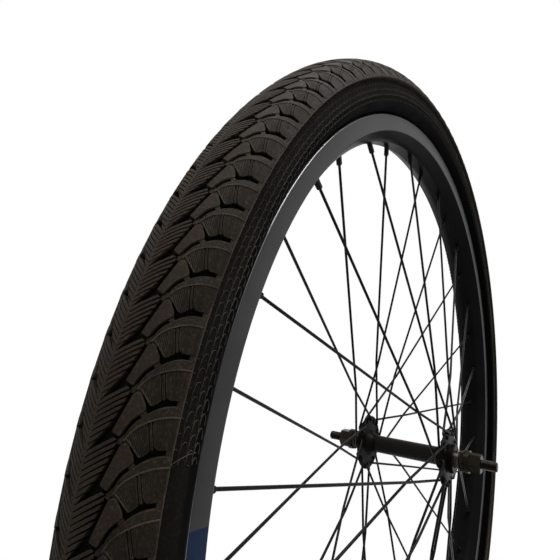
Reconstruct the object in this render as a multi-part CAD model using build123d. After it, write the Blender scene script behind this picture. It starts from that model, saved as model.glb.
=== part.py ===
from build123d import *
from build123d.topology import SkipClean
import os
from math import acos, ceil, cos, degrees, radians, sin, sqrt, tan

# Bicycle tire on a complete front wheel, ISO 50-559 (26 x 1.95 in), millimetres.
# Origin at the wheel's centre, axle along Y, +Z up. "left" is the -Y side, "right" the +Y side.
# Every ring is drawn once as a half section, x = radius and y = distance along the axle.

# ---------------------------------------------------------------- tire
bead_seat_r = 279.5        # ISO 559 bead seat, radius
section_lift = 20.0        # from the bead seat to the centre of the inflated section
casing_r = 22.5            # outer radius of the carcass section
casing_wall = 2.2          # plies and sidewall rubber
casing_flank_deg = 112.0   # where the round section runs into the bead, from the crown
bead_width = 4.2
bead_height = 5.6
bead_wire_width = 2.0
bead_wire_height = 2.6
bead_wire_inset = 1.1      # rubber between the bead's toe side and the wire
flange_lift = 0.6          # the flanks pass this far over the rim's flanges
flank_inset = 0.5          # and end this far inside the rim's outer width
bead_shoulder = 1.0        # the carcass runs into the bead this far below its top

tread_thickness = 3.5
tread_half_deg = 68.0      # the cap reaches this far round the section
tread_pitches = 120        # the pattern repeats this often round the tire
# corners of the grooves: the arc from the centre line, and the rise along the tire in pitches
leaf_start_arc = 3.2
leaf_end_arc = 12.3
leaf_rise = 1.08
leaf_groove_width = 2.0
leaf_groove_depth = 2.3
arch_start_arc = 13.0
arch_start_rise = 1.2
arch_knee_arc = 19.0
arch_knee_rise = 1.78
arch_overrun = 1.0         # the arch runs out this far past the edge of the tread
arch_end_rise = 2.07
arch_groove_width = 2.9
arch_groove_depth = 2.5
groove_overcut = 2.0       # the grooves' cutters stand this much over the tread

tube_gap = 0.6             # between the inner tube and what it is pressed against
tube_wall = 0.9

# ---------------------------------------------------------------- rim
rim_inner_width = 25.0
flange_height = 6.5        # over the bead seat
flange_wall = 3.0
flange_lip = 0.4           # the flange's edge is eased by this much towards the bead
brake_track_height = 8.0
seat_width = 4.4
rim_wall = 2.0             # round the hollow chamber in each flank
bed_wall = 2.6             # spoke bed, carries the nipples
bed_drop = 12.5            # from the bead seat down to the rim's innermost face
bed_width = 14.0
bed_corner = 1.6           # the bed's edges are turned up by this much
valve_hole_d = 8.5
strip_thickness = 0.8
strip_width = 11.0
strip_lift = 0.1           # the strip lies on the nipples' heads

# ---------------------------------------------------------------- spokes and nipples
spoke_count = 36
crosses = 3
spoke_d = 2.0
spoke_head_d = 3.9
spoke_head_height = 1.1
spoke_end_gap = 0.3        # the bore goes this far past the spoke's end
spoke_sides = 8            # round rod, drawn with few faces because it repeats
nipple_sides = 6
rim_stagger = 2.0          # the rim's holes lie alternately left and right of the middle
nipple_shank_d = 4.0
nipple_head_d = 6.0
nipple_head_height = 1.8
nipple_square = 3.3
nipple_square_length = 8.2
nipple_engagement = 9.5    # thread length that the spoke has in its nipple
nipple_drill_over = 2.0    # the rim's drills reach this far past the bed on both sides
nipple_tilt_lift = 0.5     # the tilted nipple's shoulders clear the bed by this much on its axis
valve_angle_deg = -83.25

# ---------------------------------------------------------------- hub
barrel_d = 15.0
barrel_root_d = 23.0
barrel_root_length = 5.0   # the barrel widens over this length to the flange
barrel_swell = 0.8         # and first by this much
barrel_swell_length = 4.0
flange_spacing = 73.0      # middle to middle
flange_d = 48.0
flange_thickness = 3.0
flange_edge = 0.8
flange_round = 1.0         # the rounded inner corner of the flange, across and along
flange_round_depth = 0.5
flange_face_margin = 1.5   # the flat face starts this far inside the spoke circle
spoke_circle_d = 40.0
flange_hole_d = 2.5
boss_length = 5.5          # from the flange's middle to the shell's end
boss_d = 22.0
cup_d = 19.2
cup_length = 6.6
cup_lip_d = 18.0
tunnel_d = 11.4
cup_floor = 1.0
dust_cap_wall = 0.7
dust_cap_skirt = 3.0
dust_cap_hole_d = 14.2
dust_cap_edge = 0.3

ball_d = 4.762             # 3/16 in
balls_per_side = 7
ball_circle_d = 13.6
ball_inset = 2.8           # ball centres behind the shell's end face
race_gap = 0.04
retainer_wall = 0.5
retainer_inner_d = 13.9
retainer_outer_d = 17.5
retainer_bite = 0.48       # the ring lies this far below the balls' tops
retainer_finger = 2.0
retainer_finger_width = 1.6

axle_d = 7.9               # 5/16 in, over the threads of the free ends
axle_grip_d = 7.4          # pitch diameter, drawn where something is screwed on
free_end_gap = 0.3         # the free end starts this far outside the nut
axle_length = 150.0
axle_end_chamfer = 0.8
locknut_stand = 8.0        # the locknuts' outer faces outside the shell's ends
thread_gap = 0.03          # everything screwed on the axle
washer_bore_d = 8.1        # washers pass over the free ends
cone_d = 13.2
cone_length = 8.4
cone_flats = 11.0
cone_flat_length = 2.6
cone_nose = 1.0            # width of the cone's inner end
cone_race_over = 0.6       # the cone is full size this far outside the balls' centres
lock_washer_thickness = 1.2
lock_washer_d = 15.0
locknut_thickness = 2.8
locknut_flats = 15.0
fork_washer_thickness = 1.6
fork_washer_d = 17.5
fork_washer_teeth = 12
fork_tooth_gap = 1.2
fork_tooth_depth = 0.8
nut_corner_drop = 0.7      # the nuts' outer corners are turned off over this height
nut_face_margin = 0.2
axle_nut_height = 11.5
axle_nut_flats = 14.0
axle_nut_flange_d = 18.0
axle_nut_flange_height = 2.5

# ---------------------------------------------------------------- valve (Schrader)
valve_stem_d = 7.7
valve_length = 38.0        # from the tube to the stem's mouth
valve_bore_d = 5.2
valve_drill_over = 5.0     # the valve hole's drill starts this far inside the bed
valve_foot_length = 20.0
valve_foot_width = 6.6
valve_foot_height = 1.6
valve_nut_flats = 11.0
valve_nut_height = 3.0
valve_nut_gap = 0.15       # flat nut on the curved bed
core_d = 5.1
core_length = 20.0
core_inset = 2.5           # the core's top below the stem's mouth
core_bore_d = 2.2
pin_d = 1.6
pin_foot = 1.5             # the pin reaches this far below the core
pin_disc_margin = 0.3
pin_stand = 1.5            # the pin's top above the core's
pin_rest = 0.05            # between the pin's disc and the core
cap_d = 9.4
cap_height = 11.0
cap_cover = 8.0            # stem length inside the cap
cap_gap = 0.1
cap_edge = 1.0
bore_over = 1.0            # the valve's bores are cut this far past each end

seat_gap = 0.05            # rubber or sheet metal lying on its seat
press_gap = 0.02           # pressed-in and moulded-in pieces

# ---------------------------------------------------------------- worked out
section_center_r = bead_seat_r + section_lift
bed_r = bead_seat_r - bed_drop
flange_r = bead_seat_r + flange_height
rim_half = rim_inner_width / 2 + flange_wall
track_r = flange_r - brake_track_height
tread_r = casing_r + tread_thickness
pitch_deg = 360 / tread_pitches
arch_end_arc = radians(tread_half_deg) * tread_r + arch_overrun
side_hole_deg = 720 / spoke_count
flange_y = flange_spacing / 2
hub_end = flange_y + boss_length
ball_y = hub_end - ball_inset
ball_circle_r = ball_circle_d / 2
locknut_face = hub_end + locknut_stand
axle_bore_r = axle_grip_d / 2 + thread_gap
nut_face = locknut_face + fork_washer_thickness
free_end_y = nut_face + axle_nut_height + free_end_gap
nipple_head_r = bed_r + bed_wall + 2 * nipple_tilt_lift + nipple_head_height
strip_r = nipple_head_r + strip_lift
tube_bottom_r = strip_r + strip_thickness + tube_gap
valve_foot_r = tube_bottom_r + tube_wall + seat_gap


def ring(profile):
    """A ring round the axle from a section drawn with x = radius, y = along the axle."""
    return revolve(profile, Axis.Y)


def outline(*points):
    return make_face(Polyline(*points, close=True))


def band(r_in, r_out, y_low, y_high):
    """Plain ring of rectangular section."""
    return ring(outline((r_in, y_low), (r_out, y_low), (r_out, y_high), (r_in, y_high)))


def other_side(shape):
    return mirror(shape, Plane.XZ)


def turned(shape, angle):
    """Turned about the axle, counted from +X towards +Z."""
    return Rot(0, -angle, 0) * shape


def around(shape, count, start=0.0):
    return [turned(shape, start + 360 / count * i) for i in range(count)]


def wheel_point(r, angle, y):
    a = radians(angle)
    return Vector(r * cos(a), y, r * sin(a))


# ================================================================ rim and strip
def rim_section():
    """Right half: brake track, flank and spoke bed outside, flange, seat and well inside."""
    inner = rim_inner_width / 2
    seat_edge = (bead_seat_r, inner - seat_width)
    well_edge = (bed_r + bed_wall, bed_width / 2 - bed_corner)
    bed_edge = (bed_r + bed_corner, bed_width / 2 + bed_corner)
    track_edge = (track_r, rim_half)
    section = outline(
        (bed_r, 0), (bed_r, bed_width / 2 - bed_corner), bed_edge, track_edge, (flange_r, rim_half),
        (flange_r, inner + flange_lip), (flange_r - 4 * flange_lip, inner), (bead_seat_r, inner),
        seat_edge, well_edge, (well_edge[0], 0),
    )
    flank = outline(bed_edge, track_edge, (bead_seat_r, rim_half), seat_edge, well_edge)
    return section - offset(flank, -rim_wall, kind=Kind.INTERSECTION)


def rim():
    half = rim_section()
    drills = []
    for hole in range(4):
        seat, inward = spoke_axis(hole)
        drill = rod(seat + inward * nipple_drill_over, seat - inward * (bed_wall + nipple_drill_over),
                    nipple_shank_d / 2 + 2 * seat_gap, nipple_sides)
        drills += around(drill, spoke_count // 4)
    return ring(half + other_side(half)) - drills - valve_drill(valve_hole_d)


def valve_drill(diameter):
    start, end = (wheel_point(r, valve_angle_deg, 0) for r in (bed_r - valve_drill_over, flange_r))
    return Solid.make_cylinder(diameter / 2, (end - start).length, Plane(start, z_dir=end - start))


def rim_strip():
    strip = band(strip_r, strip_r + strip_thickness, -strip_width / 2, strip_width / 2)
    return strip - valve_drill(valve_hole_d)


# ================================================================ spokes and nipples
# Rim holes are counted from the valve. Each group of four holds a right and a left spoke leaning one
# way, then a right and a left leaning the other, so the spokes beside the valve lean away from it.
def spoke_kind(hole):
    """(side, lean, head_in): the flange, the way to its hub hole, and where its head lies."""
    side = 1 if hole % 2 == 0 else -1
    lean = 1 if hole % 4 in (0, 1) else -1
    head_in = lean == side
    return side, lean, head_in


def hole_angle(hole):
    return valve_angle_deg + 360 / spoke_count * (hole + 0.5)


def crossing_share():
    """Where the outermost crossing lies on the way from the hub hole to the rim, 0 to 1."""
    hub_r = spoke_circle_d / 2
    wrap = radians(crosses * side_hole_deg)
    run = sqrt(hub_r**2 + bed_r**2 - 2 * hub_r * bed_r * cos(wrap))
    off = hub_r * bed_r * sin(wrap) / run          # the spoke's line passes the axle this far off
    foot = acos(off / hub_r)
    half = radians(side_hole_deg) * (crosses - 0.5)
    return (off * tan(foot + half) - sqrt(hub_r**2 - off**2)) / run


def spoke_path(hole):
    """Head, elbow, outermost crossing and rim. There the outer spoke passes inside the inner one."""
    side, lean, head_in = spoke_kind(hole)
    rim_angle = hole_angle(hole)
    face = flange_thickness / 2 + seat_gap
    out = 1 if head_in else -1
    share = crossing_share()
    cross_y = flange_y + (rim_stagger - flange_y) * share - out * (spoke_d / 2 + seat_gap)
    hub = wheel_point(spoke_circle_d / 2, rim_angle + lean * crosses * side_hole_deg, 0)
    rim_end = wheel_point(bed_r, rim_angle, 0)
    places = [(hub, flange_y - out * face), (hub, flange_y + out * (face + spoke_d / 2)),
              (hub + (rim_end - hub) * share, cross_y), (rim_end, rim_stagger)]
    return [Vector(p.X, side * y, p.Z) for p, y in places]


def spoke_axis(hole):
    """Point on the spoke bed and unit vector towards the hub."""
    path = spoke_path(hole)
    return path[-1], (path[-2] - path[-1]).normalized()


def rod(start, end, r, sides):
    """Straight bar drawn with few faces."""
    way = end - start
    return extrude(Plane(start, z_dir=way) * RegularPolygon(r, sides), way.length)


def spoke(hole):
    """One spoke, from its head through the elbow to its end inside the nipple."""
    head, elbow, cross, seat = spoke_path(hole)
    tip = seat + (seat - cross).normalized() * (nipple_engagement - nipple_square_length)
    section = Plane(head, z_dir=elbow - head) * RegularPolygon(spoke_d / 2, spoke_sides)
    body = sweep(section, Polyline(head, elbow, cross, tip), transition=Transition.RIGHT)
    away = (head - elbow).normalized()
    return body + rod(head, head + away * spoke_head_height, spoke_head_d / 2, spoke_sides)


def nipple(hole):
    """Square driving end towards the hub, round shank through the bed, head inside the rim."""
    seat, inward = spoke_axis(hole)
    head_seat = seat - inward * (bed_wall + nipple_tilt_lift)
    square_end = seat + inward * nipple_tilt_lift
    square = extrude(Plane(square_end, z_dir=inward) * Rectangle(nipple_square, nipple_square),
                     nipple_square_length - nipple_tilt_lift)
    shank = rod(square_end, head_seat, nipple_shank_d / 2, nipple_sides)
    head = rod(head_seat, head_seat - inward * nipple_head_height, nipple_head_d / 2, nipple_sides)
    bore = rod(seat + inward * (nipple_square_length + spoke_end_gap),
               seat - inward * (nipple_engagement - nipple_square_length + spoke_end_gap),
               spoke_d / 2 / cos(radians(180 / spoke_sides)) + thread_gap, spoke_sides)
    return square + shank + head - bore


def spoke_group(side, head_in):
    """The spokes of one flange whose heads lie on the same face of it."""
    first = next(h for h in range(4) if spoke_kind(h)[::2] == (side, head_in))
    return Compound(around(spoke(first), spoke_count // 4))


def nipples():
    """Four neighbouring nipples, repeated round the rim."""
    return Compound([n for hole in range(4) for n in around(nipple(hole), spoke_count // 4)])


# ================================================================ hub
def hub_shell():
    """Forged barrel with two dished, drilled flanges and end bosses bored for the cups."""
    root = flange_y - flange_thickness / 2
    face = flange_y + flange_thickness / 2
    edge = flange_d / 2
    neck = root - barrel_root_length
    half = outline(
        (tunnel_d / 2, 0), (barrel_d / 2, 0), (barrel_d / 2, neck - barrel_swell_length),
        (barrel_d / 2 + barrel_swell, neck), (barrel_root_d / 2, root), (edge - flange_round, root),
        (edge, root + flange_round_depth), (edge, root + flange_round_depth + flange_edge),
        (spoke_circle_d / 2 - flange_face_margin, face), (boss_d / 2, face),
        (boss_d / 2, hub_end), (cup_d / 2 + press_gap, hub_end),
        (cup_d / 2 + press_gap, hub_end - cup_length), (tunnel_d / 2, hub_end - cup_length),
    )
    drills = []
    for hole in range(4):
        head, elbow = spoke_path(hole)[:2]
        middle = (head + elbow) / 2
        drill = Solid.make_cylinder(flange_hole_d / 2, flange_thickness * 2,
                                    Plane(middle - Vector(0, flange_thickness, 0), z_dir=(0, 1, 0)))
        drills += around(drill, spoke_count // 4)
    return ring(half + other_side(half)) - drills


def ball_track(radius):
    """The space that a ball of this radius sweeps round the axle, right side."""
    return ring(Pos(ball_circle_r, ball_y) * Circle(radius))


def bearing_cup():
    bottom = hub_end - cup_length + press_gap
    body = ring(outline((tunnel_d / 2, bottom), (cup_d / 2, bottom), (cup_d / 2, hub_end),
                        (cup_lip_d / 2, hub_end), (cup_lip_d / 2, ball_y),
                        (tunnel_d / 2, bottom + cup_floor)))
    return body - ball_track(ball_d / 2 + race_gap)


def cone():
    """Bearing cone: race towards the wheel's middle, spanner flats outside."""
    outer = locknut_face - locknut_thickness - lock_washer_thickness
    inner = outer - cone_length
    body = ring(outline((axle_bore_r, inner), (axle_bore_r + cone_nose, inner),
                        (cone_d / 2, ball_y + cone_race_over), (cone_d / 2, outer), (axle_bore_r, outer)))
    depth = cone_d - cone_flats
    flats = [Pos(side * (cone_flats + depth) / 2, outer - cone_flat_length / 2, 0)
             * Box(depth, cone_flat_length, cone_d) for side in (-1, 1)]
    return body - ball_track(ball_d / 2 + race_gap) - flats


def balls():
    ball = Pos(ball_circle_r, ball_y, 0) * Sphere(ball_d / 2)
    return Compound(around(ball, balls_per_side))


def retainer():
    """Stamped ring outside the balls, with a finger between each two."""
    low = ball_y + ball_d / 2 - retainer_bite
    rim_ring = band(retainer_inner_d / 2, retainer_outer_d / 2, low, low + retainer_wall)
    finger = Pos(ball_circle_r, low - retainer_finger / 2, 0) * Box(
        retainer_finger_width, retainer_finger, retainer_wall)
    fingers = around(finger, balls_per_side, 180 / balls_per_side)
    return rim_ring.fuse(*fingers) - ball_set_clearance()


def ball_set_clearance():
    clear = Pos(ball_circle_r, ball_y, 0) * Sphere(ball_d / 2 + race_gap)
    return around(clear, balls_per_side)


def dust_cap():
    """Pressed over the boss, closes the bearing round the cone."""
    skirt_r = boss_d / 2 + press_gap
    low, high = hub_end - dust_cap_skirt, hub_end + press_gap
    return ring(outline((skirt_r, low), (skirt_r + dust_cap_wall, low),
                        (skirt_r + dust_cap_wall, high + dust_cap_wall - dust_cap_edge),
                        (skirt_r + dust_cap_wall - dust_cap_edge, high + dust_cap_wall),
                        (dust_cap_hole_d / 2, high + dust_cap_wall), (dust_cap_hole_d / 2, high),
                        (skirt_r, high)))


def axle():
    """Turned rod with a free threaded end on each side for the fork's slots."""
    end, grip, free = axle_length / 2, axle_grip_d / 2, axle_d / 2
    half = outline((0, 0), (grip, 0), (grip, free_end_y), (free, free_end_y),
                   (free, end - axle_end_chamfer), (free - axle_end_chamfer, end), (0, end))
    return ring(half + other_side(half))


def disc(thickness, diameter, start, bore):
    """Washer on the axle, from its inner face outwards, right side."""
    return band(bore / 2, diameter / 2, start, start + thickness)


def hex_nut(flats, height, start):
    """Nut on the axle with its outer corners turned off, right side."""
    prism = extrude(Plane((0, start, 0), x_dir=(1, 0, 0), z_dir=(0, 1, 0))
                    * RegularPolygon(flats / 2, 6, major_radius=False), height)
    corner = flats / sqrt(3)
    turned_corners = ring(outline((0, start), (corner, start), (corner, start + height - nut_corner_drop),
                                  (flats / 2 - nut_face_margin, start + height), (0, start + height)))
    bore = band(0, axle_bore_r, start - height, start + 2 * height)
    return (prism & turned_corners) - bore


def axle_nut():
    return hex_nut(axle_nut_flats, axle_nut_height, nut_face) + disc(
        axle_nut_flange_height, axle_nut_flange_d, nut_face, 2 * axle_bore_r)


def fork_washer():
    """Serrated washer: teeth round its edge bite into the fork end."""
    body = disc(fork_washer_thickness, fork_washer_d, locknut_face, washer_bore_d)
    notch = Pos(fork_washer_d / 2, locknut_face + fork_washer_thickness / 2, 0) * Box(
        2 * fork_tooth_depth, fork_washer_thickness, fork_tooth_gap)
    return body - around(notch, fork_washer_teeth)


def both_sides(shape):
    return Compound([shape, other_side(shape)])


# ================================================================ tire
def section_point(r, angle):
    """On a circle round the section's centre; the angle counts from the crown to +Y."""
    a = radians(angle)
    return section_center_r + r * cos(a), r * sin(a)


def bead_corners():
    """Toe and heel radius, inner and outer distance from the middle."""
    low = bead_seat_r + seat_gap
    out = rim_inner_width / 2 - seat_gap
    return low, low + bead_height, out - bead_width, out


def tire_casing():
    """Plies, sidewalls and both beads; the flanks pass over the rim's flanges."""
    low, high, near, far = bead_corners()
    outer = CenterArc((section_center_r, 0), casing_r, 0, casing_flank_deg)
    inner = CenterArc((section_center_r, 0), casing_r - casing_wall, 0, casing_flank_deg)
    heel = Polyline(outer @ 1, (flange_r + 2 * flange_lift, rim_half - flank_inset),
                    (flange_r + flange_lift, far), (low, far), (low, near),
                    (high - bead_shoulder, near), inner @ 1)
    half = make_face(outer + heel + inner + Line(inner @ 0, outer @ 0))
    return ring(half + other_side(half)) - [bead_wire(side, 0) for side in (-1, 1)]


def bead_wire(side, gap):
    """Bundle of steel wire moulded into the bead."""
    low, high, near, far = bead_corners()
    y, r = near + bead_wire_inset, low + bead_wire_inset
    wire = band(r + gap, r + bead_wire_height - gap, y + gap, y + bead_wire_width - gap)
    return wire if side > 0 else other_side(wire)


def inner_tube():
    """Butyl tube that fills the casing and reaches down between the beads to the rim strip."""
    _, high, near, _ = bead_corners()
    belly = CenterArc((section_center_r, 0), casing_r - casing_wall - tube_gap, 0, casing_flank_deg)
    foot = Polyline(belly @ 1, (high, near - tube_gap), (bead_seat_r, near - tube_gap - seat_gap),
                    (tube_bottom_r, strip_width / 2 - tube_gap), (tube_bottom_r, 0))
    half = make_face(belly + foot + Line(foot @ 1, belly @ 0))
    outer = half + other_side(half)
    return ring(outer - offset(outer, -tube_wall)) - valve_drill(valve_stem_d + 2 * seat_gap)


def tread_point(arc, pitches, side):
    """On the tread: arc is measured from the centre line, pitches along the tire. With the normal."""
    across, along = arc / tread_r, -pitches * pitch_deg
    r, y = section_point(tread_r, degrees(across))
    return wheel_point(r, along, side * y), wheel_point(cos(across), along, side * sin(across))


def groove(places, side, width, depth):
    """Tapered groove along places (arc, pitches) on the tread, mitred where it turns."""
    points = [tread_point(*place, side) for place in places]
    (start, normal), (second, _) = points[:2]
    way = (second - start).normalized()
    up = (normal - way * normal.dot(way)).normalized()
    high = width / 2 * (1 + groove_overcut / depth)
    section = Plane(start, x_dir=up.cross(way), z_dir=way) * outline(
        (-high, groove_overcut), (high, groove_overcut), (0, -depth))
    return sweep(section, Polyline(*[p for p, _ in points]), transition=Transition.RIGHT)


def tread_grooves(pitch, side):
    """A leaf groove from the centre outwards, and the arch that runs from its end over the shoulder."""
    leaf = [(leaf_start_arc, pitch), (leaf_end_arc, pitch + leaf_rise)]
    arch = [(arch_start_arc, pitch + arch_start_rise), (arch_knee_arc, pitch + arch_knee_rise),
            (arch_end_arc, pitch + arch_end_rise)]
    return [groove(leaf, side, leaf_groove_width, leaf_groove_depth),
            groove(arch, side, arch_groove_width, arch_groove_depth)]


def tire_tread():
    """Cap of the tire: one pitch is cut from a short sector, then repeated and joined all round."""
    arcs = [CenterArc((section_center_r, 0), r, -tread_half_deg, 2 * tread_half_deg)
            for r in (tread_r, casing_r + seat_gap)]
    face = make_face(arcs[0] + arcs[1] + Line(arcs[0] @ 0, arcs[1] @ 0) + Line(arcs[0] @ 1, arcs[1] @ 1))
    sector = turned(revolve(face, Axis.Y, pitch_deg), pitch_deg / 2)
    one = sector - [g for pitch in range(-ceil(arch_end_rise) - 1, 2) for side in (-1, 1)
                    for g in tread_grooves(pitch, side)]
    first, *rest = around(one.solid(), tread_pitches)
    with SkipClean():                              # keeps the crown in short, valid faces
        return first.fuse(*rest, glue=True)


# ================================================================ valve
def up_valve(shape):
    """From a valve drawn along +Z, its foot at 0 and its mouth down, to its place in the wheel."""
    foot = wheel_point(valve_foot_r, valve_angle_deg, 0)
    return Plane(foot, x_dir=(0, 1, 0), z_dir=foot * -1) * shape


def tube_of(r_out, r_in, low, high):
    """Turned sleeve along +Z."""
    sleeve = Pos(0, 0, low) * Cylinder(r_out, high - low, align=(Align.CENTER, Align.CENTER, Align.MIN))
    if not r_in:
        return sleeve
    return sleeve - Pos(0, 0, low) * Cylinder(r_in, high - low, align=(Align.CENTER, Align.CENTER, Align.MIN))


def valve_stem():
    """Brass stem with the rubber foot that is vulcanized to the tube."""
    foot = extrude(Pos(0, 0, -valve_foot_height)
                   * SlotOverall(valve_foot_length, valve_foot_width, rotation=90), valve_foot_height)
    stem = tube_of(valve_stem_d / 2, 0, -valve_foot_height, valve_length)
    bore = tube_of(valve_bore_d / 2, 0, -valve_foot_height - bore_over, valve_length + bore_over)
    return up_valve(foot + stem - bore)


def valve_core():
    top = valve_length - core_inset
    body = tube_of(core_d / 2, core_bore_d / 2, top - core_length, top)
    return up_valve(body)


def valve_pin():
    """Sprung pin; its disc closes the core from inside the tube."""
    top = valve_length - core_inset
    foot = top - core_length - pin_foot
    stem = tube_of(pin_d / 2, 0, foot, top + pin_stand)
    disc_ = tube_of(core_d / 2 - pin_disc_margin, 0, foot, top - core_length - pin_rest)
    return up_valve(stem + disc_)


def valve_nut():
    """Ring nut drawn up against the spoke bed."""
    low = valve_foot_r - bed_r + valve_nut_gap
    prism = extrude(Pos(0, 0, low) * RegularPolygon(valve_nut_flats / 2, 6, major_radius=False),
                    valve_nut_height)
    bore = tube_of(valve_stem_d / 2 + thread_gap, 0, low - bore_over, low + valve_nut_height + bore_over)
    return up_valve(prism - bore)


def valve_cap():
    mouth = valve_length - cap_cover
    shell = tube_of(cap_d / 2, 0, mouth, mouth + cap_height)
    shell = chamfer(shell.faces().sort_by(Axis.Z)[-1].edges(), cap_edge)
    return up_valve(shell - tube_of(valve_stem_d / 2 + cap_gap, 0, mouth - bore_over, valve_length + cap_gap))


# ================================================================ the pieces
def pieces():
    yield "axle", axle()
    yield "cone_right", cone()
    yield "cone_left", other_side(cone())
    washer_start = locknut_face - locknut_thickness - lock_washer_thickness
    yield "lock_washers", both_sides(
        disc(lock_washer_thickness, lock_washer_d, washer_start, washer_bore_d))
    yield "locknuts", both_sides(hex_nut(locknut_flats, locknut_thickness, locknut_face - locknut_thickness))
    yield "fork_washers", both_sides(fork_washer())
    yield "axle_nuts", both_sides(axle_nut())
    yield "balls_right", balls()
    yield "balls_left", other_side(balls())
    yield "retainer_right", retainer()
    yield "retainer_left", other_side(retainer())
    yield "hub_shell", hub_shell()
    yield "bearing_cup_right", bearing_cup()
    yield "bearing_cup_left", other_side(bearing_cup())
    yield "dust_cap_right", dust_cap()
    yield "dust_cap_left", other_side(dust_cap())
    for side, side_name in ((1, "right"), (-1, "left")):
        for head_in, head_name in ((True, "heads_in"), (False, "heads_out")):
            yield f"spokes_{side_name}_{head_name}", spoke_group(side, head_in)
        yield f"bead_wire_{side_name}", bead_wire(side, press_gap)
    yield "nipples", nipples()
    yield "rim", rim()
    yield "rim_strip", rim_strip()
    yield "inner_tube", inner_tube()
    yield "tire_casing", tire_casing()
    yield "tire_tread", tire_tread()
    yield "valve_stem", valve_stem()
    yield "valve_core", valve_core()
    yield "valve_pin", valve_pin()
    yield "valve_nut", valve_nut()
    yield "valve_cap", valve_cap()


os.makedirs("parts", exist_ok=True)
for name, shape in pieces():
    export_step(shape, f"parts/{name}.step")
    print(name, len(shape.solids()), round(shape.volume, 1), shape.is_valid)
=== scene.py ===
"""Bicycle tire on its spoked front wheel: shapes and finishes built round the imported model."""

from math import acos, atan2, ceil, cos, degrees, pi, radians, sin, sqrt, tan, tau

import bmesh
import bpy
from bpy.props import FloatProperty, FloatVectorProperty, IntProperty, PointerProperty
from bpy.types import Operator, Panel, PropertyGroup
from mathutils import Euler, Matrix, Vector


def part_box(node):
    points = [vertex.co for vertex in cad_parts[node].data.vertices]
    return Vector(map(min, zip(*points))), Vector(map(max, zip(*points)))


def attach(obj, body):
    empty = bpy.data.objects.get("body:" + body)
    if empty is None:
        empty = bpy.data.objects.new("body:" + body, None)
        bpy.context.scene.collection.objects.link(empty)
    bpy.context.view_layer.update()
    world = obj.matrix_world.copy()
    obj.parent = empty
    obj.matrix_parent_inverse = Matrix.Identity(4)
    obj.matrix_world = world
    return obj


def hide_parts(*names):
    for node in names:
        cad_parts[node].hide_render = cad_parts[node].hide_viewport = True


bl_info = {
    "name": "Bicycle Tire",
    "version": (1, 0, 0),
    "blender": (4, 5, 0),
    "location": "3D View > Sidebar > Tire",
    "description": "Chevron tread, sidewalls, rim, spokes, hub and valve of a bicycle wheel",
    "category": "Object",
}

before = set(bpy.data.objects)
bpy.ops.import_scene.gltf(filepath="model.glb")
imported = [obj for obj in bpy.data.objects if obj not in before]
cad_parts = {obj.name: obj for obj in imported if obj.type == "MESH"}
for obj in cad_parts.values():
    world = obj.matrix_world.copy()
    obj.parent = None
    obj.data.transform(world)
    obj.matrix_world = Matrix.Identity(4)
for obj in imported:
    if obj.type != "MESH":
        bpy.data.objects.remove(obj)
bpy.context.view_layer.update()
MM = 0.001


def corner(node, which, axis):
    """One coordinate of a CAD node's box: which is 0 for the low corner and 1 for the high one."""
    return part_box(node)[which][axis]


# ---------------------------------------------------------------- sizes and colours
def length(name, about, value):
    return FloatProperty(name=name, description=about, default=value, min=0.0, max=1.0, unit="LENGTH",
                         precision=5)


def arc(name, about, value):
    return FloatProperty(name=name, description=about, default=radians(value), subtype="ANGLE")


def number(name, about, value, low, high):
    return IntProperty(name=name, description=about, default=value, min=low, max=high)


def power(name, about, value):
    return FloatProperty(name=name, description=about, default=value, min=0.0, max=2000.0, unit="POWER")


def colour(name, about, *value):
    return FloatVectorProperty(name=name, description=about, default=value, min=0.0, max=1.0, size=3,
                               subtype="COLOR")


class TireSizes(PropertyGroup):
    pitches: number("Pitches", "How often the tread pattern repeats round the tire", 120, 24, 200)
    section_center: length("Section centre", "From the axle to the middle of the tire's section", 0.2995)
    tread_radius: length("Tread radius", "Section radius over the tread", 0.026)
    casing_radius: length("Casing radius", "Section radius over the sidewalls", 0.0225)
    floor_radius: length("Groove floor", "Section radius at the bottom of the grooves", 0.0232)
    ribs: number("Ribs", "Ribs on each leaf of the tread", 8, 3, 12)
    scales: number("Scales", "Small arcs in each sidewall row for each pitch", 3, 1, 6)
    scale_rows: number("Scale rows", "Rows of arcs on each sidewall", 4, 1, 5)
    panel_angle: arc("Panel start", "Where the bare label panel starts, from +X towards +Z", 168.6)
    panel_turn: arc("Panel length", "How far the label panel reaches round the tire", 31.0)
    rib_gap: length("Rib gap", "Width of the cuts between the ribs", 0.00062)
    edge_bevel: length("Block bevel", "Width of the eased edges of the blocks", 0.00028)
    rubber: colour("Rubber", "Colour of the tread blocks", 0.0048, 0.0035, 0.0023)
    # Also the lighter colour of raised tread edges: partly dust and wear, partly painted highlight.
    rubber_dust_and_highlight: colour("Worn rubber and edge highlight", "Colour where the tread is dusty or scuffed, and of its edges' painted highlight", 0.036, 0.027, 0.0185)
    leaf_rubber: colour("Leaf rubber", "Colour of the ribbed leaves", 0.0100, 0.0068, 0.0054)
    sidewall: colour("Sidewall", "Colour of the sidewalls", 0.0026, 0.0023, 0.0020)


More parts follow.
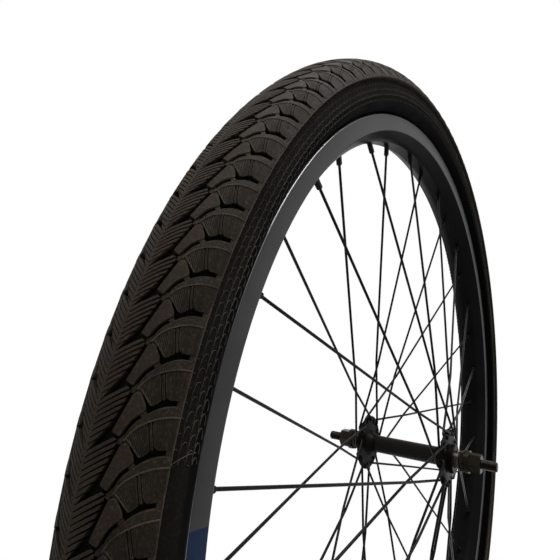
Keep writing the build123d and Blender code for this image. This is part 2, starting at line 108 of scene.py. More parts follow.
class WheelSizes(PropertyGroup):
    bead_seat: length("Bead seat", "Radius of the rim's bead seat", 0.2795)
    flange_height: length("Flange height", "Rim flange over the bead seat", 0.0065)
    rim_half: length("Rim half width", "Half of the rim's outer width", 0.0155)
    wall_height: length("Side wall", "Height of the rim's flat side wall", 0.0128)
    label_angle: arc("Label start", "Where the plain label starts, from +X towards +Z", 173.6)
    label_turn: arc("Label length", "How far the label reaches round the rim", 8.5)
    bed_drop: length("Spoke bed", "Spoke bed below the bead seat", 0.0125)
    spokes: number("Spokes", "Number of spokes", 36, 12, 48)
    crosses: number("Crosses", "How many spokes each spoke crosses", 3, 0, 4)
    spoke_diameter: length("Spoke", "Spoke diameter", 0.002)
    valve_angle: arc("Valve angle", "Where the valve is, from +X towards +Z", -83.25)
    rim_paint: colour("Rim", "Satin black of the rim", 0.0022, 0.0022, 0.0022)
    # Painted light: the side walls get a lighter grey than the flanks and bed, standing in for light falling
    # on them.
    lit_wall_paint: colour("Side wall painted lit", "Smoother grey of the rim's side walls, painted lighter as if lit", 0.010, 0.010, 0.010)
    # Painted highlight: the lip's lighter grey stands in for the highlight line along the flange edge, on top
    # of its gloss.
    lip_highlight_paint: colour("Rim lip", "Lighter edge of the rim's flanges, a painted highlight", 0.03, 0.03, 0.03)
    label: colour("Label", "Plain label on the rim's side wall", 0.003, 0.009, 0.028)
    spoke_paint: colour("Spokes", "Black coating of the spokes", 0.0025, 0.0025, 0.0025)
    hub_paint: colour("Hub", "Gloss black of the hub", 0.0022, 0.0017, 0.0013)


class StageSizes(PropertyGroup):
    floor_color: colour("Floor", "Colour of the floor", 0.86, 0.86, 0.86)
    key_power: power("Key light", "Power of the large lamp overhead", 76.0)
    fill_power: power("Fill light", "Power of the lamp on the open side", 1.2)
    lens: FloatProperty(name="Lens", description="Focal length of the camera in millimetres",
                        default=29.43, min=8.0, max=200.0, unit="CAMERA")


# ---------------------------------------------------------------- nodes
def add(tree, kind, values=None, **settings):
    """A node with its settings, and its inputs by name or number as values or linked sockets."""
    node = tree.nodes.new(kind)
    for key, value in settings.items():
        setattr(node, key, value)
    for key, value in (values or {}).items():
        if isinstance(value, bpy.types.NodeSocket):
            tree.links.new(value, node.inputs[key])
        else:
            node.inputs[key].default_value = value
    return node


def maths(tree, operation, *values):
    """The result of a Math node."""
    return add(tree, "ShaderNodeMath", dict(enumerate(values)), operation=operation).outputs[0]


def ranged(tree, value, **limits):
    """The value taken from one range to another, such as from_min=0.2, to_max=0.8."""
    inputs = {name.replace("_", " ").title(): limit for name, limit in limits.items()}
    return add(tree, "ShaderNodeMapRange", {"Value": value, **inputs}).outputs[0]


def mixed_color(tree, factor, first, second, blend="MIX"):
    return add(tree, "ShaderNodeMix", {0: factor, 6: first, 7: second}, data_type="RGBA",
               blend_type=blend).outputs[2]


def node_group(name, kind, inputs, outputs):
    """A new node group with its inputs as (name, socket, default) and its outputs as (name, socket).

    With it come the sockets that the group is given and those that it puts out.
    """
    tree = bpy.data.node_groups.new(name, kind)
    for label, socket, value in inputs:
        made = tree.interface.new_socket(label, in_out="INPUT", socket_type=f"NodeSocket{socket}")
        if value is not None:
            made.default_value = value
    for label, socket in outputs:
        tree.interface.new_socket(label, in_out="OUTPUT", socket_type=f"NodeSocket{socket}")
    given, out = tree.nodes.new("NodeGroupInput"), tree.nodes.new("NodeGroupOutput")
    return tree, given.outputs, out.inputs


def grain_group(name):
    """Fine pores over broad unevenness, as a height from 0 to 1."""
    tree, given, out = node_group(
        name, "ShaderNodeTree",
        [("Vector", "Vector", None), ("Scale", "Float", 900.0), ("Pores", "Float", 0.5)],
        [("Height", "Float")])
    vector, scale = given["Vector"], given["Scale"]
    broad = add(tree, "ShaderNodeTexNoise", {"Vector": vector, "Scale": scale, "Detail": 3.0,
                                             "Roughness": 0.6})
    cells = add(tree, "ShaderNodeTexVoronoi", {"Vector": vector,
                                               "Scale": maths(tree, "MULTIPLY", scale, 2.6)})
    mixed = add(tree, "ShaderNodeMix", {"Factor": given["Pores"], "A": broad.outputs["Fac"],
                                        "B": cells.outputs["Distance"]})
    tree.links.new(mixed.outputs["Result"], out["Height"])
    return tree


def patina_group(name):
    """Uneven colour and gloss: broad clouds and fine specks of dust."""
    tree, given, out = node_group(
        name, "ShaderNodeTree",
        [("Vector", "Vector", None), ("Color", "Color", (0.03, 0.03, 0.03, 1)),
         ("Worn", "Color", (0.06, 0.06, 0.06, 1)), ("Amount", "Float", 0.4), ("Scale", "Float", 25.0),
         ("Specks", "Float", 0.0), ("Dull", "Float", 0.7), ("Bright", "Float", 0.5)],
        [("Color", "Color"), ("Roughness", "Float")])
    clouds = add(tree, "ShaderNodeTexNoise", {"Vector": given["Vector"], "Scale": given["Scale"],
                                              "Detail": 5.0, "Roughness": 0.62})
    spread = ranged(tree, clouds.outputs["Fac"], from_min=0.36, from_max=0.70, to_min=0.2)
    dust = add(tree, "ShaderNodeTexNoise", {"Vector": given["Vector"], "Scale": 900.0, "Detail": 2.0,
                                            "Roughness": 0.7})
    specks = ranged(tree, dust.outputs["Fac"], from_min=0.50, from_max=0.74)
    total = add(tree, "ShaderNodeMath", {0: maths(tree, "MULTIPLY", spread, given["Amount"]),
                                         1: maths(tree, "MULTIPLY", specks, given["Specks"])},
                operation="ADD", use_clamp=True)
    tint = mixed_color(tree, total.outputs[0], given["Color"], given["Worn"])
    tree.links.new(tint, out["Color"])
    tree.links.new(ranged(tree, spread, to_min=given["Bright"], to_max=given["Dull"]), out["Roughness"])
    return tree


def turned_group(name):
    """Fine lathe marks round the axle, as a height."""
    tree, given, out = node_group(
        name, "ShaderNodeTree", [("Vector", "Vector", None), ("Per Metre", "Float", 2500.0)],
        [("Height", "Float")])
    x, y, z = add(tree, "ShaderNodeSeparateXYZ", {0: given["Vector"]}).outputs
    square = maths(tree, "ADD", maths(tree, "MULTIPLY", x, x), maths(tree, "MULTIPLY", z, z))
    line = add(tree, "ShaderNodeCombineXYZ", {"X": maths(tree, "SQRT", square), "Y": y})
    marks = add(tree, "ShaderNodeTexNoise", {"Vector": line.outputs[0], "Scale": given["Per Metre"],
                                             "Detail": 2.0})
    tree.links.new(marks.outputs["Fac"], out["Height"])
    return tree


def spread_round_axle(tree, shape, given, out):
    """Repeats shape evenly round the Y axis and puts it out as plain geometry."""
    points = add(tree, "GeometryNodePoints", {"Count": given["Count"]})
    index = add(tree, "GeometryNodeInputIndex").outputs[0]
    turn = maths(tree, "MULTIPLY", maths(tree, "DIVIDE", index, given["Count"]), -tau)
    euler = add(tree, "ShaderNodeCombineXYZ", {"Y": turn})
    rotation = add(tree, "FunctionNodeEulerToRotation", {0: euler.outputs[0]})
    placed = add(tree, "GeometryNodeInstanceOnPoints", {"Points": points.outputs[0], "Instance": shape,
                                                        "Rotation": rotation.outputs[0]})
    real = add(tree, "GeometryNodeRealizeInstances", {0: placed.outputs[0]})
    last = add(tree, "GeometryNodeSetMaterial", {"Geometry": real.outputs[0], "Material": given["Material"]})
    tree.links.new(last.outputs[0], out[0])
    return tree


def repeat_group(name):
    """The incoming shape, repeated evenly round the axle."""
    tree, given, out = node_group(
        name, "GeometryNodeTree",
        [("Geometry", "Geometry", None), ("Count", "Int", 36), ("Material", "Material", None)],
        [("Geometry", "Geometry")])
    return spread_round_axle(tree, given["Geometry"], given, out)


def rods_group(name):
    """Round rods with bent elbows along the incoming line, repeated evenly round the axle."""
    tree, given, out = node_group(
        name, "GeometryNodeTree",
        [("Geometry", "Geometry", None), ("Rod Radius", "Float", 0.001), ("Bend Radius", "Float", 0.003),
         ("Sides", "Int", 12), ("Count", "Int", 9), ("Material", "Material", None)],
        [("Geometry", "Geometry")])
    line = add(tree, "GeometryNodeMeshToCurve", {"Mesh": given["Geometry"]})
    bent = add(tree, "GeometryNodeFilletCurve", {"Curve": line.outputs[0], "Radius": given["Bend Radius"],
                                                 "Count": 5, "Limit Radius": True}, mode="POLY")
    section = add(tree, "GeometryNodeCurvePrimitiveCircle", {"Resolution": given["Sides"],
                                                             "Radius": given["Rod Radius"]})
    rod = add(tree, "GeometryNodeCurveToMesh", {"Curve": bent.outputs[0], "Profile Curve": section.outputs[0],
                                                "Fill Caps": True})
    return spread_round_axle(tree, rod.outputs[0], given, out)


GROUPS = {"Grain": grain_group, "Patina": patina_group, "Lathe Marks": turned_group,
          "Repeat Round Axle": repeat_group, "Rods Round Axle": rods_group}


def group(name):
    """One of the shared node groups, built the first time it is asked for."""
    return bpy.data.node_groups.get(name) or GROUPS[name](name)


# ---------------------------------------------------------------- finishes
def finish(name, color, worn, dull=0.7, bright=0.5, amount=0.4, patches=25.0, specks=0.0, metallic=0.0,
           grain=900.0, pores=0.4, depth=0.00004, lathe=0.0, hatch=0.0, crest=0.0, specular=0.5):
    """Procedural material: patchy colour and gloss over a fine surface relief.

    Where a mesh has the attribute hatch, hatch sets how strongly fine lines run along its whole numbers.
    Where it has the attribute crest, crest is how much lighter the raised edges are, partly wear and partly
    painted highlight; below 0 the colour is darkened as painted shade.
    """
    made = bpy.data.materials.get(name)
    if made:
        return made
    made = bpy.data.materials.new(name)
    made.use_nodes = True
    tree = made.node_tree
    place = add(tree, "ShaderNodeTexCoord").outputs["Object"]
    patina = add(tree, "ShaderNodeGroup", {
        "Vector": place, "Color": (*color, 1), "Worn": (*worn, 1), "Amount": amount, "Scale": patches,
        "Specks": specks, "Dull": dull, "Bright": bright}, node_tree=group("Patina"))
    relief = add(tree, "ShaderNodeGroup", {"Vector": place, "Scale": grain, "Pores": pores},
                 node_tree=group("Grain"))
    tint, height = patina.outputs["Color"], relief.outputs["Height"]
    if lathe:
        marks = add(tree, "ShaderNodeGroup", {"Vector": place, "Per Metre": lathe},
                    node_tree=group("Lathe Marks"))
        height = maths(tree, "ADD", height, marks.outputs["Height"])
    if crest:
        edge = add(tree, "ShaderNodeAttribute", attribute_name="crest").outputs["Fac"]
        # Raised edges lean towards the worn colour: partly wear, partly painted highlight.
        tree.links.new(maths(tree, "MULTIPLY_ADD", edge, crest, amount), patina.inputs["Amount"])
        # Below 0 the colour is multiplied down to 0.12 of itself: painted shade in the grooves and near the
        # rim.
        painted_shade = ranged(tree, edge, from_min=-1.0, from_max=0.0, to_min=0.12)
        tint = mixed_color(tree, 1.0, tint, painted_shade, "MULTIPLY")
    if hatch:
        line = add(tree, "ShaderNodeAttribute", attribute_name="hatch").outputs["Fac"]
        height = maths(tree, "MULTIPLY_ADD", maths(tree, "PINGPONG", line, 0.5), hatch, height)
    bump = add(tree, "ShaderNodeBump", {"Strength": 1.0, "Distance": depth, "Height": height})
    shader = tree.nodes["Principled BSDF"].inputs
    tree.links.new(tint, shader["Base Color"])
    tree.links.new(patina.outputs["Roughness"], shader["Roughness"])
    tree.links.new(bump.outputs["Normal"], shader["Normal"])
    shader["Metallic"].default_value = metallic
    shader["Specular IOR Level"].default_value = specular
    return made


# The tread and leaf rubbers lighten raised edges by crest, partly wear and partly painted highlight, and
# darken groove floors and block feet as painted shade.
def tread_rubber(sizes):
    return finish("tread rubber", sizes.rubber, sizes.rubber_dust_and_highlight, dull=0.78, bright=0.5, amount=0.24,
                  patches=110.0, specks=0.55, grain=1500.0, pores=0.5, depth=0.00030, hatch=2.0, crest=0.9,
                  specular=0.06)


def leaf_rubber(sizes):
    return finish("leaf rubber", sizes.leaf_rubber, sizes.rubber_dust_and_highlight, dull=0.8, bright=0.56, amount=0.26,
                  patches=110.0, specks=0.55, grain=1500.0, pores=0.5, depth=0.00030, crest=0.6,
                  specular=0.06)


# The sidewall rubber lightens the crests of scales and bars strongly, partly wear and partly painted
# highlight, and darkens the lower sidewall as painted shade.
def sidewall_rubber(sizes):
    return finish("sidewall rubber", sizes.sidewall, (0.036, 0.032, 0.027), dull=0.66, bright=0.42,
                  amount=0.12, patches=30.0, specks=0.15, grain=1500.0, pores=0.3, crest=1.8, specular=0.009)


def rim_paint(sizes):
    return finish("satin black rim", sizes.rim_paint, (0.008, 0.008, 0.008), dull=0.42, bright=0.26,
                  amount=0.35, patches=18.0, specks=0.08, grain=1400.0, depth=0.000012, specular=0.015)


# Painted light: lighter grey for the rim's side walls, as if lit, against the darker flanks and bed.
def lit_wall_paint(sizes):
    return finish("rim side wall painted lit", sizes.lit_wall_paint, (0.05, 0.05, 0.052), dull=0.42, bright=0.28,
                  amount=0.35, patches=16.0, specks=0.05, grain=1400.0, depth=0.000012, lathe=1800.0,
                  specular=0.13)


# Painted highlight: lighter grey along the rim's lips, with high gloss.
def lip_highlight_paint(sizes):
    return finish("rim lip painted highlight", sizes.lip_highlight_paint, (0.30, 0.30, 0.30), dull=0.26, bright=0.14, amount=0.15,
                  patches=9.0, specks=0.1, grain=1600.0, depth=0.000005, specular=1.0)


def label_print(sizes):
    return finish("plain blue label", sizes.label, (0.010, 0.018, 0.040), dull=0.5, bright=0.3,
                  patches=80.0, specks=0.2, grain=1800.0, depth=0.00001, specular=0.04)


def spoke_paint(sizes):
    return finish("black spoke", sizes.spoke_paint, (0.014, 0.014, 0.014), dull=0.42, bright=0.26, amount=0.3,
                  patches=60.0, grain=2500.0, depth=0.00001, specular=0.05)


def hub_paint(sizes):
    return finish("gloss black hub", sizes.hub_paint, (0.007, 0.0055, 0.0045), dull=0.44, bright=0.26,
                  amount=0.3, patches=50.0, specks=0.1, grain=1200.0, depth=0.000015, specular=0.025)


def barrel_paint(sizes):
    return finish("polished black barrel", sizes.hub_paint, (0.009, 0.008, 0.007), dull=0.26, bright=0.18,
                  amount=0.3, patches=50.0, specks=0.1, grain=1200.0, depth=0.000005, specular=0.07)


def dark_steel():
    return finish("oiled steel", (0.011, 0.009, 0.0075), (0.006, 0.0045, 0.0035), dull=0.48, bright=0.28,
                  amount=0.7, patches=160.0, metallic=1.0, grain=3000.0, depth=0.00003, lathe=3500.0)


def plated_steel():
    return finish("dark plated steel", (0.017, 0.0135, 0.010), (0.007, 0.005, 0.0036), dull=0.44, bright=0.24,
                  amount=0.6, patches=190.0, metallic=1.0, grain=2600.0, depth=0.00003)


def ground_steel():
    return finish("ground bearing steel", (0.10, 0.095, 0.09), (0.05, 0.042, 0.036), dull=0.34, bright=0.18,
                  patches=220.0, metallic=1.0, grain=3000.0, depth=0.00001, lathe=5000.0)


def bronzed_wire():
    return finish("bronzed bead wire", (0.42, 0.34, 0.2), (0.22, 0.16, 0.1), dull=0.5, bright=0.3,
                  patches=150.0, metallic=1.0, lathe=1500.0)


def brass():
    return finish("turned brass", (0.62, 0.47, 0.22), (0.36, 0.25, 0.12), dull=0.42, bright=0.24, amount=0.5,
                  patches=200.0, metallic=1.0, grain=2800.0, depth=0.00002, lathe=3000.0)


def moulded_plastic():
    return finish("moulded black plastic", (0.010, 0.010, 0.010), (0.02, 0.02, 0.02), dull=0.5, bright=0.36,
                  amount=0.3, patches=120.0, grain=2400.0, depth=0.00003)


def cloth_tape():
    return finish("rim tape", (0.10, 0.085, 0.07), (0.16, 0.14, 0.12), dull=0.85, bright=0.7, patches=90.0,
                  grain=1800.0)


def butyl():
    return finish("butyl tube", (0.022, 0.022, 0.023), (0.05, 0.05, 0.05), dull=0.6, bright=0.42,
                  patches=60.0, specks=0.2)


# ---------------------------------------------------------------- mesh building
TIRE_STEPS, RIM_STEPS, HUB_STEPS = 240, 288, 72     # how finely the rings are divided


def on_wheel(radius, y, angle):
    """A place at this radius and angle round the axle, from +X towards +Z."""
    return radius * cos(angle), y, radius * sin(angle)


def linked(name, data):
    """A new object with this data in the scene."""
    made = bpy.data.objects.new(name, data)
    bpy.context.scene.collection.objects.link(made)
    return made


def soften(mesh, sharp):
    """Smooth shading up to this angle in degrees."""
    for polygon in mesh.polygons:
        polygon.use_smooth = True
    mesh.set_sharp_from_angle(angle=radians(sharp))


def mesh_object(name, verts, faces, material, sharp=30.0, crest=None):
    """A mesh object at the origin, its faces turned outwards and smooth up to the given angle."""
    mesh = bpy.data.meshes.new(name)
    mesh.from_pydata([tuple(v) for v in verts], [], faces)
    shape = bmesh.new()
    shape.from_mesh(mesh)
    bmesh.ops.remove_doubles(shape, verts=shape.verts, dist=1e-7)
    bmesh.ops.recalc_face_normals(shape, faces=shape.faces)
    shape.to_mesh(mesh)
    shape.free()
    layer = mesh.attributes.new("crest", "FLOAT", "POINT")
    layer.data.foreach_set("value", crest or [0.0] * len(mesh.vertices))
    mesh.materials.append(material)
    soften(mesh, sharp)
    return linked(name, mesh)


def joined(name, pieces, material, sharp=30.0):
    """One object from several, which are removed."""
    shape = bmesh.new()
    for piece in pieces:
        shape.from_mesh(piece.data)
        old = piece.data
        bpy.data.objects.remove(piece)
        bpy.data.meshes.remove(old)
    mesh = bpy.data.meshes.new(name)
    shape.to_mesh(mesh)
    shape.free()
    mesh.materials.append(material)
    for polygon in mesh.polygons:
        polygon.material_index = 0
    soften(mesh, sharp)
    return linked(name, mesh)


def applied(piece, sharp=30.0):
    """Keeps what the piece's modifiers make as its plain mesh."""
    graph = bpy.context.evaluated_depsgraph_get()
    mesh = bpy.data.meshes.new_from_object(piece.evaluated_get(graph), depsgraph=graph)
    piece.modifiers.clear()
    old, piece.data = piece.data, mesh
    name = old.name
    bpy.data.meshes.remove(old)
    mesh.name = name
    soften(mesh, sharp)
    return piece


def grown(piece, tree, values, sharp=30.0):
    """Runs a Geometry Nodes tree on the piece with these inputs and keeps the result as its plain mesh."""
    modifier = piece.modifiers.new(tree.name, "NODES")
    modifier.node_group = tree
    for item in tree.interface.items_tree:
        if item.item_type == "SOCKET" and item.in_out == "INPUT" and item.name in values:
            modifier[item.identifier] = values[item.name]
    return applied(piece, sharp)


def repeated(piece, count, material):
    """The piece, repeated evenly round the axle."""
    return grown(piece, group("Repeat Round Axle"), {"Count": count, "Material": material})


def settle(piece, body, nodes):
    """Lets a finished piece ride on its body in place of its CAD nodes."""
    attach(piece, body)
    if nodes:
        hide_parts(*nodes)
    return piece


def skinned(rows, around=True, looped=False, lids=True):
    """Vertices and faces over rows with equally many places.

    around joins the last place of a row to its first, looped the last row to the first one, and lids close
    both ends.
    """
    count, steps = len(rows), len(rows[0])
    faces = []
    for row in range(count if looped else count - 1):
        low, high = row * steps, (row + 1) % count * steps
        for i in range(steps if around else steps - 1):
            j = (i + 1) % steps
            faces.append((low + i, low + j, high + j, high + i))
    if lids:
        faces += [tuple(reversed(range(steps))), tuple(range((count - 1) * steps, count * steps))]
    return [place for row in rows for place in row], faces


def lathe(profile, foot, axis, steps):
    """Closed solid of revolution: profile is (radius, height) from end to end, with heights along axis."""
    axis = Vector(axis).normalized()
    side = axis.orthogonal().normalized()
    other = axis.cross(side)
    rays = [side * cos(tau * i / steps) + other * sin(tau * i / steps) for i in range(steps)]
    return skinned([[Vector(foot) + axis * height + ray * radius for ray in rays]
                    for radius, height in profile])


def ring_of(section, steps):
    """Ring round the axle from a closed section of (radius, y) points."""
    rows = [[on_wheel(r, y, tau * i / steps) for r, y in section] for i in range(steps)]
    return skinned(rows, looped=True, lids=False)


def mirrored(half):
    """The (radius, y) points of the other half, from end to start."""
    return [(r, -y) for r, y in reversed(half)]


def eased(points, radius, steps=3, closed=True):
    """The polygon with its corners rounded by arcs that start at most this far from each corner."""
    out, count = [], len(points)
    for i, point in enumerate(points):
        if not closed and i in (0, count - 1):
            out.append(tuple(point))
            continue
        here = Vector(point)
        before, after = Vector(points[i - 1]), Vector(points[(i + 1) % count])
        cut = min(radius, 0.45 * (before - here).length, 0.45 * (after - here).length)
        first, last = here + (before - here).normalized() * cut, here + (after - here).normalized() * cut
        for k in range(steps + 1):
            t = k / steps
            out.append(tuple(first * (1 - t) ** 2 + here * 2 * t * (1 - t) + last * t * t))
    return out


THREAD_SIDES, THREAD_ROWS = 20, 4       # places round a thread, and rows for each of its turns


def threaded_rod(radius, low, high, pitch, depth, bore=None):
    """Rod along +Y with a single-start thread and tapered ends; bore is (radius, depth) at its high end."""
    taper, slope = 0.0006, 0.8
    count = round((high - low) / pitch * THREAD_ROWS)
    turns = [i / THREAD_SIDES for i in range(THREAD_SIDES)]
    rows = []
    for row in range(count + 1):
        y = low + (high - low) * row / count
        ease = max(0.0, taper - min(y - low, high - y)) * slope
        cuts = [depth * (1 - abs(2 * ((y / pitch - turn) % 1.0) - 1)) for turn in turns]
        rows.append([on_wheel(radius - cut - ease, y, tau * turn) for turn, cut in zip(turns, cuts)])
    if bore:
        rows += [[on_wheel(bore[0], y, tau * turn) for turn in turns] for y in (high, high - bore[1])]
    return skinned(rows)


# ---------------------------------------------------------------- tread pattern
# Places on the tread are (arc from the centre line in mm, rise along the tire in pitches), right half.
LEAF_LINE = [(3.2, 0.0), (7.2, 0.34), (10.0, 0.64), (11.6, 0.92), (12.4, 1.09)]
NOTCH = [(12.8, 1.19), (8.0, 1.32)]
SPINE = [(-0.6, 0.0), (0.6, 0.0), (0.6, 1.0), (-0.6, 1.0)]
FINGER = [(9.3, 1.335), (12.4, 1.26), (13.2, 1.40), (15.0, 1.60), (16.9, 1.725), (19.0, 1.83), (18.4, 1.955),
          (16.2, 2.14), (14.6, 2.18), (13.3, 2.10), (12.4, 1.92), (10.8, 1.62)]
RIDGE = [(14.3, 2.20), (15.3, 2.325), (16.8, 2.45), (19.3, 2.575), (22.0, 2.67), (24.4, 2.735), (27.2, 2.785),
         (31.0, 2.81)]
BAND = [(14.0, 2.27), (14.6, 2.40), (16.0, 2.55), (17.9, 2.67), (19.9, 2.775), (21.6, 2.86), (24.4, 2.955),
        (27.2, 3.01), (31.0, 3.035)] + RIDGE[::-1]
FANS = (RIDGE[:4] + [(20.8, 2.62), (22.2, 2.30), (23.4, 2.075), (22.6, 2.03), (21.6, 1.975), (20.4, 1.92),
                     (18.8, 2.02), (16.7, 2.165)],
        [(21.1, 2.632), (21.9, 2.665), (23.3, 2.33), (24.6, 2.105), (23.7, 2.085), (22.5, 2.31)],
        [(22.2, 2.675), *RIDGE[5:], (31.0, 2.145), (27.5, 2.13), (24.9, 2.11), (23.6, 2.335)])
FAN_RIM = [(14.7, 2.265), (16.7, 2.175), (18.8, 2.035), (20.5, 1.95)]
TIES = ([(17.5, 1.73), (19.0, 1.82), (20.0, 1.775), (18.6, 1.68)],
        [(14.4, 2.15), (16.5, 2.09), (17.1, 2.15), (14.8, 2.29)],
        [(12.2, 1.13), (13.4, 1.12), (14.4, 1.22), (13.9, 1.33), (13.0, 1.25), (12.2, 1.22)])
MARGIN = [(29.0, 0.0), (31.1, 0.0), (31.1, 1.0), (29.0, 1.0)]
EDGE_LINE = [(31.0, 0.0), (31.6, 0.0), (31.6, 1.0), (31.0, 1.0)]
FLOOR_EDGE = 31.3                           # the groove floor ends under the edge line
LEAF_GAP, NOTCH_GAP = 0.65, 0.45            # from the leaf line and the notch to the ribs' ends
RIB_FOOT, RIB_REACH, RIB_RISE = 0.5, 15.0, 0.037    # arcs where a rib starts and ends, its rise for each mm
SPINE_OFFSET = 0.125                        # pitches by which the ribs start before the pitch does
HATCH_CENTER, HATCH_DEGREES = (29.3, 1.08), 1.6     # the fans' fine lines spread from here, this far apart


def clipped(polygon, low, high):
    """The part of a polygon on the left of the line from low to high."""
    way = Vector(high) - Vector(low)
    side = [way.x * (y - low[1]) - way.y * (x - low[0]) for x, y in polygon]
    out = []
    for i, point in enumerate(polygon):
        j = (i + 1) % len(polygon)
        if side[i] >= 0:
            out.append(point)
        if (side[i] >= 0) != (side[j] >= 0):
            t = side[i] / (side[i] - side[j])
            out.append(tuple(Vector(point).lerp(Vector(polygon[j]), t)))
    return out


def shifted(line, distance):
    """The line moved to its left by distance, in millimetres."""
    out = []
    for i, point in enumerate(line):
        way = Vector(line[min(i + 1, len(line) - 1)]) - Vector(line[max(i - 1, 0)])
        out.append(tuple(Vector(point) + Vector((-way.y, way.x)).normalized() * distance))
    return out


def grown_by(polygon, distance):
    """The polygon with its sides moved outwards, or inwards by a negative distance."""
    area = sum(a[0] * b[1] - b[0] * a[1] for a, b in zip(polygon, polygon[1:] + polygon[:1]))
    turn = 1 if area > 0 else -1
    out = []
    for i, point in enumerate(polygon):
        normals = []
        for a, b in ((polygon[i - 1], point), (point, polygon[(i + 1) % len(polygon)])):
            way = Vector(b) - Vector(a)
            normals.append(Vector((way.y, -way.x)).normalized() * turn)
        middle = (normals[0] + normals[1]).normalized()
        out.append(tuple(Vector(point) + middle * distance / max(0.55, middle.dot(normals[0]))))
    return out


class FlatPitch:
    """One pitch of the tread, drawn flat in millimetres and then wrapped round the tire."""

    def __init__(self, sizes):
        self.sizes = sizes
        self.crown = sizes.section_center + sizes.tread_radius
        self.pitch = tau * self.crown / sizes.pitches / MM
        self.depth = (sizes.tread_radius - sizes.floor_radius) / MM
        self.bevel = sizes.edge_bevel / MM
        self.shape = bmesh.new()
        self.hatch = self.shape.verts.layers.float.new("hatch")
        self.crest = self.shape.verts.layers.float.new("crest")

    def flat(self, places):
        return [(across, rise * self.pitch) for across, rise in places]

    def strip(self, line, side, width, **block):
        """A narrow block along a line."""
        self.block(shifted(line, width / 2) + shifted(line, -width / 2)[::-1], side, **block)

    def block(self, outline, side, top=1.0, bevel=0.0, draft=0.25, hatched=False, worn=0.0, edge=0.0):
        """A block of rubber on an outline that widens by draft down to its foot below the groove floor.

        top is its share of the groove depth, worn how much lighter its top edges are, partly wear and partly
        painted highlight, and edge the width of that worn and highlighted border. Its sides darken towards
        the foot as painted shade in the grooves.
        """
        foot, height = -0.15, self.depth * top
        # The foot ring gets crest -1, painted shade down in the grooves; the top rings get worn, partly wear
        # and partly painted highlight.
        loops = [(grown_by(outline, draft), foot, -1.0), (outline, height - bevel, worn)]
        if bevel:
            loops.append((grown_by(outline, -bevel), height, worn))
        if edge:
            loops.append((grown_by(outline, -bevel - edge), height, 0.0))
        rings = []
        for points, z, crest in loops:
            rings.append([self.shape.verts.new((x * side, y, z)) for x, y in points])
            for vert in rings[-1]:
                vert[self.crest] = crest
        for low, high in zip(rings, rings[1:]):
            for i in range(len(outline)):
                j = (i + 1) % len(outline)
                self.shape.faces.new((low[i], low[j], high[j], high[i]))
        self.shape.faces.new(rings[-1])
        if hatched:
            (center,) = self.flat([HATCH_CENTER])
            for vert in sum(rings, []):
                angle = atan2(vert.co.y - center[1], center[0] - vert.co.x * side)
                vert[self.hatch] = degrees(angle) / HATCH_DEGREES

    def wrapped(self, name, material, step=4):
        """Cuts the flat shape every few millimetres, so that it bends, and lays it on the tire's section."""
        shape, sizes = self.shape, self.sizes
        cuts = ceil(max(abs(v.co.x) for v in shape.verts) / step)
        for i in range(-cuts, cuts + 1):
            bmesh.ops.bisect_plane(shape, geom=shape.verts[:] + shape.edges[:] + shape.faces[:],
                                   plane_co=(i * step, 0, 0), plane_no=(1, 0, 0), dist=1e-4)
        for vert in shape.verts:
            across = vert.co.x * MM / sizes.tread_radius
            section = sizes.floor_radius + vert.co.z * MM
            vert.co = on_wheel(sizes.section_center + section * cos(across), section * sin(across),
                               -vert.co.y * MM / self.crown)
        bmesh.ops.recalc_face_normals(shape, faces=shape.faces)
        mesh = bpy.data.meshes.new(name)
        shape.to_mesh(mesh)
        shape.free()
        mesh.materials.append(material)
        return repeated(linked(name, mesh), sizes.pitches, material)

    def ribs(self):
        """The ribs of one leaf: strips from the spine that end at the leaf groove and its notch."""
        rib_pitch = self.pitch / self.sizes.ribs
        gap = self.sizes.rib_gap / MM / 2
        leaf, notch = shifted(self.flat(LEAF_LINE), LEAF_GAP), shifted(self.flat(NOTCH), NOTCH_GAP)
        rise = RIB_RISE * RIB_REACH * self.pitch
        for k in range(self.sizes.ribs):
            low = k * rib_pitch - SPINE_OFFSET * self.pitch
            high = low + rib_pitch
            rib = [(RIB_FOOT, low + gap * 0.6), (RIB_REACH, low + rise + gap * 1.5),
                   (RIB_REACH, high + rise - gap * 1.5), (RIB_FOOT, high - gap * 0.6)]
            for a, b in (*zip(leaf, leaf[1:]), notch):
                rib = clipped(rib, a, b)
            if len(rib) > 2:
                yield rib


class TIRE_OT_crown(Operator):
    """Ribbed leaves and smooth fingers on the middle of the tread"""

    bl_idname = "tire.crown"
    bl_label = "Tread crown"

    def execute(self, context):
        flat = FlatPitch(context.scene.tire_sizes)
        for side in (-1, 1):
            for rib in flat.ribs():
                flat.block(rib, side, top=0.96, draft=0.05, bevel=0.12, worn=0.4)
            flat.block(eased(flat.flat(FINGER), 0.6, 2), side, bevel=flat.bevel, worn=0.6, edge=0.3)
        flat.block(flat.flat(SPINE), 1, top=0.985, bevel=0.15, draft=0.1, worn=0.7)
        settle(flat.wrapped("tread_crown", leaf_rubber(flat.sizes)), "wheel", [])
        return {"FINISHED"}


